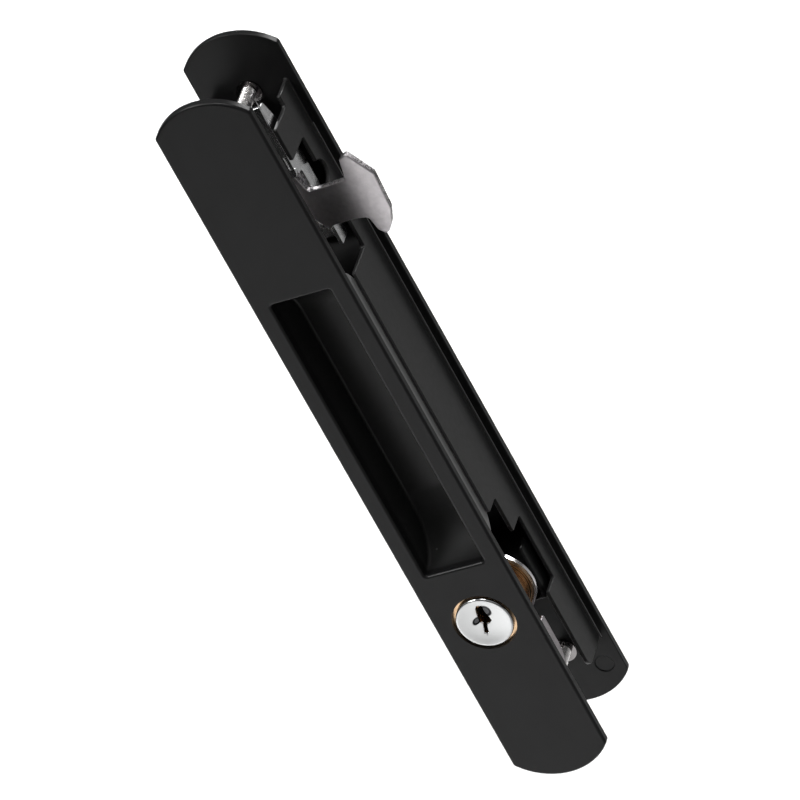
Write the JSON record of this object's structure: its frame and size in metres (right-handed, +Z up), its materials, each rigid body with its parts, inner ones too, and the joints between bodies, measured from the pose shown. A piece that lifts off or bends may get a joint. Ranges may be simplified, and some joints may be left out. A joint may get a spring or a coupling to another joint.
{
  "type": "sliding door lock",
  "caption": "Two-sided hook lock for a sliding door: long black plates with finger pulls, key cylinder outside, thumb turn inside, swinging hook between.",
  "frame": {"origin": "centre of the outside plate's seat on the door, on the plane of the door's outer face", "axes": "+X towards the door's closing edge, where the hook comes out; +Y into the door, from outside to inside; +Z up along the plates"},
  "size_m": [0.0524, 0.0553, 0.283],
  "materials": {
    "black_coat": "satin black powder coat",
    "zinc_plate": "bright zinc plate",
    "hook_steel": "satin nickel plate",
    "chrome": "polished chrome",
    "brass": "machined",
    "spring_steel": "oiled",
    "zinc_casting": "as cast",
    "black_plastic": "moulded",
    "nylon": "moulded"
  },
  "bodies": {
    "lock": {"case_screws": "zinc_plate", "cylinder_body": "brass", "cylinder_bracket": "zinc_plate", "cylinder_ring": "zinc_plate", "driver_pins": "brass", "fixing_screws": "zinc_plate", "hook_pivot_pin": "zinc_plate", "housing_screws": "black_coat", "inside_plate": "black_coat", "lock_case": "zinc_plate", "lock_case_cover": "zinc_plate", "outside_plate": "black_coat", "pin_springs": "spring_steel", "screw_collars": "zinc_plate", "turn_bush": "nylon", "turn_housing": "black_plastic", "turn_washer": "spring_steel"},
    "key": {"key_plug": "brass", "plug_face_cap": "chrome", "plug_clip": "spring_steel", "key_pins": "brass"},
    "turn": {"cam": "zinc_casting", "inside_turn": "black_coat", "turn_clip": "spring_steel"},
    "bar": {"drive_bar": "zinc_plate"},
    "hook": {"hook": "hook_steel", "drive_pin": "zinc_plate"}
  },
  "joints": [
    {"name": "key_turn", "type": "hinge", "parent": "lock", "child": "key", "pos_m": [0, 0, -0.075], "axis": [0, 1, 0], "range_deg": [0, 90]},
    {"name": "thumb_turn", "type": "hinge", "parent": "lock", "child": "turn", "pos_m": [0, 0.0365, -0.075], "axis": [0, 1, 0], "range_deg": [0, 90]},
    {"name": "bar_slide", "type": "slide", "parent": "lock", "child": "bar", "axis": [0, 0, 1], "range_m": [0, 0.00665]},
    {"name": "hook_swing", "type": "hinge", "parent": "lock", "child": "hook", "pos_m": [0, 0.0182, 0.108], "axis": [0, 1, 0], "range_deg": [0, 41]}
  ],
  "couplings": [
    {"joint": "thumb_turn", "follows": "key_turn", "ratio": 1},
    {"joint": "bar_slide", "follows": "key_turn", "m_per_rad": 0.004236},
    {"joint": "hook_swing", "follows": "key_turn", "ratio": 0.45556}
  ]
}
